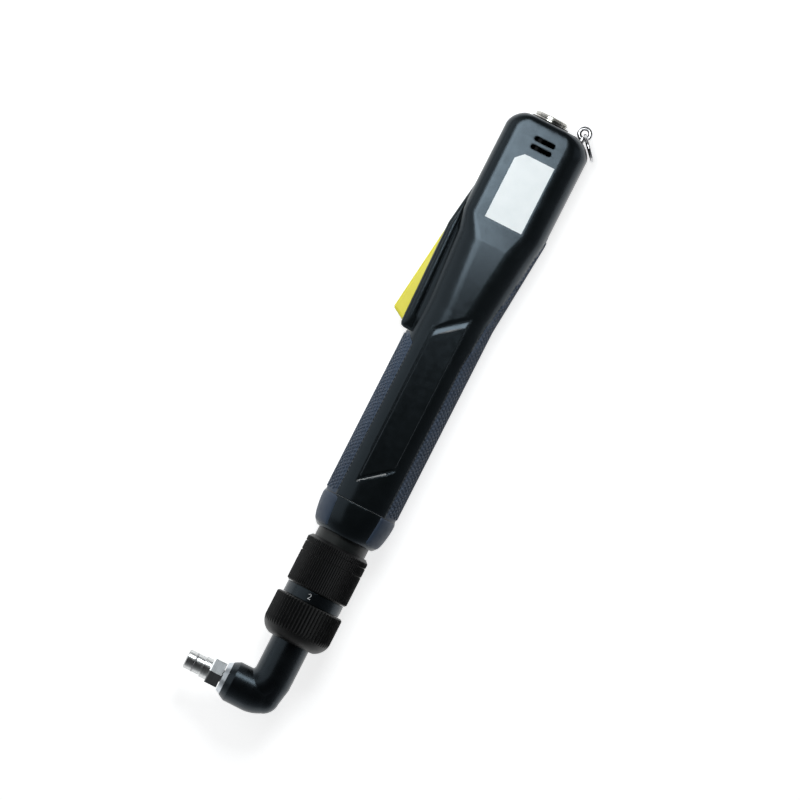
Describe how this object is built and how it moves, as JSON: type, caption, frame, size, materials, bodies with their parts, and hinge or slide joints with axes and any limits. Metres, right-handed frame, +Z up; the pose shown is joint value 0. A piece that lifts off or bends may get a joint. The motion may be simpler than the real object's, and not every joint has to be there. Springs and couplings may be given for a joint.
{
  "type": "angle electric screwdriver",
  "caption": "Slim corded electric screwdriver with a lever trigger, rubber grips, knurled torque and coupling nuts, and a right-angle bit head.",
  "frame": {"origin": "middle of the footprint, on the surface that the tool lies on", "axes": "+Y along the tool from the head to the cable socket, +X away from the trigger and the bit, +Z up out of the side it lies on"},
  "size_m": [0.0646, 0.3164, 0.0346],
  "materials": {
    "housing_plastic": "satin moulded plastic",
    "grip_rubber": "textured soft rubber",
    "trigger_plastic": "smooth coloured plastic",
    "label": "bare white film",
    "blackened_steel": "black oxide steel",
    "black_scale": "semi-gloss black",
    "neck_metal": "dark anodised metal",
    "bright_steel": "turned steel",
    "bronze": "sintered bronze",
    "nickel": "bright plated",
    "contacts": "gilt",
    "insulator": "black insulator",
    "plunger_plastic": "red plastic",
    "board": "glass fibre board",
    "components": "moulded components"
  },
  "bodies": {
    "housing": {"housing_left": "housing_plastic", "housing_right": "housing_plastic", "housing_screws": "blackened_steel", "grip_front": "grip_rubber", "grip_back": "grip_rubber", "nose_cap": "housing_plastic", "rating_label": "label", "connector_shell": "nickel", "connector_nut": "nickel", "connector_insert": "insulator", "connector_pins": "contacts", "hang_eye": "nickel", "motor_can": "bright_steel", "motor_end_cap": "insulator", "motor_bearing_front": "bright_steel", "motor_bearing_rear": "bright_steel", "motor_plate": "bright_steel", "motor_stator": "bright_steel", "gearbox_case": "bright_steel", "carrier_bearing": "bright_steel", "neck_tube": "neck_metal", "scale_ring": "black_scale", "spindle_bush": "bronze", "control_board": "board", "board_components": "components", "switch_body": "insulator", "trigger_pin": "bright_steel", "trigger_spring": "bright_steel", "angle_head": "black_scale", "pinion_bearing_upper": "bright_steel", "bearing_spacer": "bright_steel", "pinion_bearing_lower": "bright_steel", "output_bearing": "bright_steel", "rear_bush": "bronze", "output_nut": "bright_steel"},
    "rotor": {"motor_shaft": "bright_steel", "rotor_magnet": "bright_steel", "sun_gear": "bright_steel"},
    "drive_line": {"planet_carrier": "bright_steel", "planet_pins": "bright_steel", "clutch_cam": "bright_steel", "clutch_balls": "bright_steel", "clutch_plate": "bright_steel", "clutch_spring": "bright_steel", "drive_spindle": "bright_steel", "pinion_shaft": "bright_steel"},
    "planet_1": {"planet_gear_1": "bright_steel"},
    "planet_2": {"planet_gear_2": "bright_steel"},
    "planet_3": {"planet_gear_3": "bright_steel"},
    "output": {"output_spindle": "bright_steel", "bevel_gear": "bright_steel", "bit_ball": "bright_steel", "bit_clip": "bright_steel"},
    "spring_seat": {"spring_seat": "bright_steel", "thrust_washer": "bright_steel"},
    "torque_nut": {"torque_nut": "blackened_steel"},
    "coupling_nut": {"coupling_nut": "blackened_steel"},
    "trigger": {"trigger_lever": "trigger_plastic"},
    "plunger": {"switch_plunger": "plunger_plastic"},
    "hang_ring": {"hang_ring": "nickel"}
  },
  "joints": [
    {"name": "motor_spin", "type": "hinge", "parent": "housing", "child": "rotor", "pos_m": [0.00792, 0.0121, 0.0173], "axis": [0, 1, 0], "continuous": true},
    {"name": "drive_spin", "type": "hinge", "parent": "housing", "child": "drive_line", "pos_m": [0.00792, -0.0379, 0.0173], "axis": [0, 1, 0], "continuous": true},
    {"name": "planet_1_spin", "type": "hinge", "parent": "drive_line", "child": "planet_1", "pos_m": [0.01512, -0.0229, 0.0173], "axis": [0, 1, 0], "continuous": true},
    {"name": "planet_2_spin", "type": "hinge", "parent": "drive_line", "child": "planet_2", "pos_m": [0.00432, -0.0229, 0.02354], "axis": [0, 1, 0], "continuous": true},
    {"name": "planet_3_spin", "type": "hinge", "parent": "drive_line", "child": "planet_3", "pos_m": [0.00432, -0.0229, 0.01107], "axis": [0, 1, 0], "continuous": true},
    {"name": "output_spin", "type": "hinge", "parent": "housing", "child": "output", "pos_m": [-0.01208, -0.1482, 0.0173], "axis": [1, 0, 0], "continuous": true},
    {"name": "torque_setting_slide", "type": "slide", "parent": "housing", "child": "spring_seat", "axis": [0, 1, 0], "range_m": [0, 0.0038], "deforming": ["clutch_spring"]},
    {"name": "torque_nut_turn", "type": "hinge", "parent": "spring_seat", "child": "torque_nut", "pos_m": [0.00792, -0.0809, 0.0173], "axis": [0, 1, 0], "range_deg": [0, 900]},
    {"name": "coupling_nut_turn", "type": "hinge", "parent": "housing", "child": "coupling_nut", "pos_m": [0.00792, -0.1079, 0.0173], "axis": [0, 1, 0], "continuous": true},
    {"name": "trigger_press", "type": "hinge", "parent": "housing", "child": "trigger", "pos_m": [-0.01068, 0.0991, 0.0173], "axis": [0, 0, 1], "range_deg": [0, 6], "stiffness_Nm_per_rad": 1.2, "springref_deg": -4.01, "deforming": ["trigger_spring"]},
    {"name": "plunger_slide", "type": "slide", "parent": "housing", "child": "plunger", "axis": [1, 0, 0], "range_m": [0, 0.0018]},
    {"name": "hang_ring_swing", "type": "hinge", "parent": "housing", "child": "hang_ring", "pos_m": [0.02305, 0.15413, 0.0173], "axis": [0, 0, 1], "range_deg": [0, 180]}
  ],
  "couplings": [
    {"joint": "drive_spin", "follows": "motor_spin", "ratio": 0.25},
    {"joint": "planet_1_spin", "follows": "motor_spin", "ratio": -0.75},
    {"joint": "planet_2_spin", "follows": "motor_spin", "ratio": -0.75},
    {"joint": "planet_3_spin", "follows": "motor_spin", "ratio": -0.75},
    {"joint": "output_spin", "follows": "motor_spin", "ratio": 0.25},
    {"joint": "torque_setting_slide", "follows": "torque_nut_turn", "m_per_rad": 0.00023873},
    {"joint": "plunger_slide", "follows": "trigger_press", "m_per_rad": 0.016}
  ]
}
